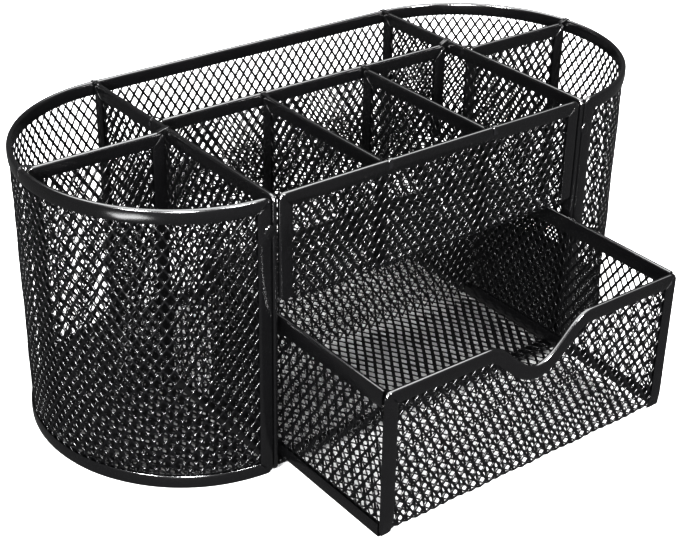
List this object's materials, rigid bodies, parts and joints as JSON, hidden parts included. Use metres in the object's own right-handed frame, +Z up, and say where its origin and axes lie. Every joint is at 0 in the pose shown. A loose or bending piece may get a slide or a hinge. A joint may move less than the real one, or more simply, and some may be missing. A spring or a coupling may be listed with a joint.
{
  "type": "desk organizer with drawer",
  "caption": "Long oval desk organizer of black steel mesh: open compartments round a middle bay, with a pull-out mesh drawer in the front.",
  "frame": {"origin": "on the surface that the organizer stands on, under the middle of its bounding box with the drawer half open, as it is at rest; the middle of the body alone is 25.75 mm further back, at y = +0.02575", "axes": "+X along the length, to the right as seen from the drawer's side; +Y to the back; +Z up; the drawer pulls out towards -Y"},
  "size_m": [0.2338, 0.1616, 0.1],
  "materials": {
    "black_mesh": "gloss powder coat on expanded steel mesh",
    "black_strip": "gloss powder coat on folded steel strip"
  },
  "bodies": {
    "organizer": {"wall_left_mesh": "black_mesh", "wall_back_mesh": "black_mesh", "wall_right_mesh": "black_mesh", "wall_left_front_strip": "black_strip", "wall_right_front_strip": "black_strip", "rim_strip": "black_strip", "base_left_strip": "black_strip", "base_back_strip": "black_strip", "base_right_strip": "black_strip", "floor_left_mesh": "black_mesh", "floor_bay_mesh": "black_mesh", "floor_right_mesh": "black_mesh", "floor_bay_front_strip": "black_strip", "cross_divider_left_mesh": "black_mesh", "cross_divider_left_top_strip": "black_strip", "cross_divider_left_bottom_strip": "black_strip", "cross_divider_left_front_strip": "black_strip", "cross_divider_left_back_strip": "black_strip", "cross_divider_right_mesh": "black_mesh", "cross_divider_right_top_strip": "black_strip", "cross_divider_right_bottom_strip": "black_strip", "cross_divider_right_front_strip": "black_strip", "cross_divider_right_back_strip": "black_strip", "end_divider_left_mesh": "black_mesh", "end_divider_left_top_strip": "black_strip", "end_divider_left_inner_strip": "black_strip", "end_divider_left_outer_strip": "black_strip", "end_divider_right_mesh": "black_mesh", "end_divider_right_top_strip": "black_strip", "end_divider_right_inner_strip": "black_strip", "end_divider_right_outer_strip": "black_strip", "long_divider_mesh": "black_mesh", "long_divider_top_strip": "black_strip", "long_divider_left_strip": "black_strip", "long_divider_right_strip": "black_strip", "short_divider_1_mesh": "black_mesh", "short_divider_1_top_strip": "black_strip", "short_divider_1_front_strip": "black_strip", "short_divider_1_back_strip": "black_strip", "short_divider_2_mesh": "black_mesh", "short_divider_2_top_strip": "black_strip", "short_divider_2_front_strip": "black_strip", "short_divider_2_back_strip": "black_strip", "front_panel_mesh": "black_mesh", "front_panel_top_strip": "black_strip", "front_panel_left_strip": "black_strip", "front_panel_right_strip": "black_strip", "shelf_mesh": "black_mesh"},
    "drawer": {"drawer_front_mesh": "black_mesh", "drawer_front_strip": "black_strip", "drawer_left_mesh": "black_mesh", "drawer_left_top_strip": "black_strip", "drawer_left_bottom_strip": "black_strip", "drawer_right_mesh": "black_mesh", "drawer_right_top_strip": "black_strip", "drawer_right_bottom_strip": "black_strip", "drawer_back_mesh": "black_mesh", "drawer_back_top_strip": "black_strip", "drawer_floor_mesh": "black_mesh"}
  },
  "joints": [
    {"name": "drawer_slide", "type": "slide", "parent": "organizer", "child": "drawer", "axis": [0, -1, 0], "range_m": [-0.0515, 0.035]}
  ]
}
